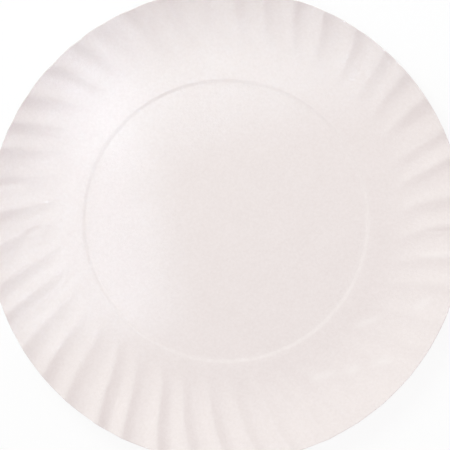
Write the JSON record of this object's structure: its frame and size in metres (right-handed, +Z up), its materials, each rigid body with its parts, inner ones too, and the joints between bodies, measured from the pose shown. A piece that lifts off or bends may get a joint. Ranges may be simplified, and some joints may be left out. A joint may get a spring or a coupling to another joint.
{
  "type": "paper plate",
  "caption": "Round shallow disposable plate of white paper board, with a flat middle inside a pressed ring and a curled wall gathered into fine leaning flutes.",
  "frame": {"origin": "centre of the plate's underside, on the table it stands on", "axes": "+Z up along the plate's axis, out of the eating side; the plate is round, so +X and +Y are any two directions across it"},
  "size_m": [0.2286, 0.2286, 0.0161],
  "materials": {
    "board": "matte"
  },
  "bodies": {
    "root": {"plate": "board"}
  },
  "joints": []
}
